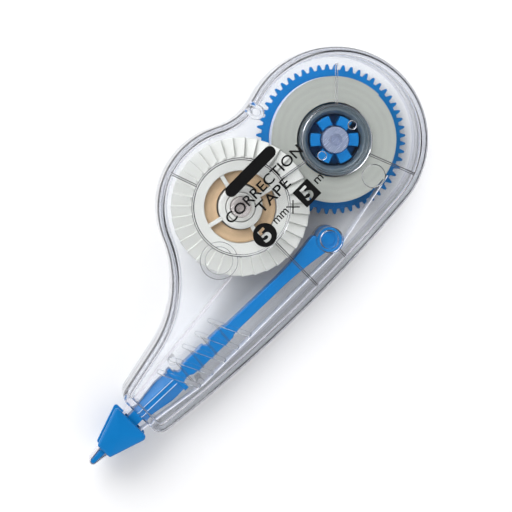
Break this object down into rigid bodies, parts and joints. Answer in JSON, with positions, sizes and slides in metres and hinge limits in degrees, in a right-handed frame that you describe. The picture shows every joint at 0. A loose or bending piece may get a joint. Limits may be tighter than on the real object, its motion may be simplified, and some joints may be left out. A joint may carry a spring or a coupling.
{
  "type": "correction tape roller",
  "caption": "Hand-held correction tape roller: a clear two-shell case around geared supply and take-up reels, with a sprung tip arm and a transfer head.",
  "frame": {"origin": "on the back shell's outer flat face, on the supply reel's axis", "axes": "+X from the writing tip towards the round tail, +Y towards the take-up reel's side, +Z from the back shell to the front shell; the object lies flat on its back"},
  "size_m": [0.0941, 0.0382, 0.0136],
  "materials": {
    "clear_plastic": "polished clear polystyrene",
    "blue_plastic": "moulded, satin",
    "smoke_plastic": "polished smoke-tinted polystyrene",
    "white_plastic": "moulded, matt",
    "correction_tape": "edge of a wound coil, matt",
    "backing_film": "glassine release paper, satin"
  },
  "bodies": {
    "case": {"back_cover": "clear_plastic", "front_cover": "clear_plastic", "feed_film": "correction_tape", "return_film": "backing_film"},
    "supply_gear": {"supply_gear": "blue_plastic"},
    "supply_roll": {"supply_core": "smoke_plastic", "supply_tape": "correction_tape"},
    "takeup": {"takeup_drum": "white_plastic", "takeup_flange": "white_plastic", "takeup_winding": "backing_film"},
    "tip": {"tip_arm": "blue_plastic", "tip_head": "blue_plastic", "nib_film": "correction_tape"}
  },
  "joints": [
    {"name": "supply_gear_spin", "type": "hinge", "parent": "case", "child": "supply_gear", "pos_m": [0, 0, 0.00265], "axis": [0, 0, 1], "continuous": true},
    {"name": "takeup_spin", "type": "hinge", "parent": "case", "child": "takeup", "pos_m": [-0.02167, 0.00382, 0.00265], "axis": [0, 0, 1], "continuous": true},
    {"name": "supply_clutch_slip", "type": "hinge", "parent": "supply_gear", "child": "supply_roll", "pos_m": [0, 0, 0.0064], "axis": [0, 0, 1], "continuous": true},
    {"name": "tip_flex", "type": "hinge", "parent": "case", "child": "tip", "pos_m": [-0.01419, -0.0126, 0.0064], "axis": [0, 0, 1], "range_deg": [-1, 1], "stiffness_Nm_per_rad": 0.2}
  ],
  "couplings": [
    {"joint": "takeup_spin", "follows": "supply_gear_spin", "ratio": -1.75}
  ]
}
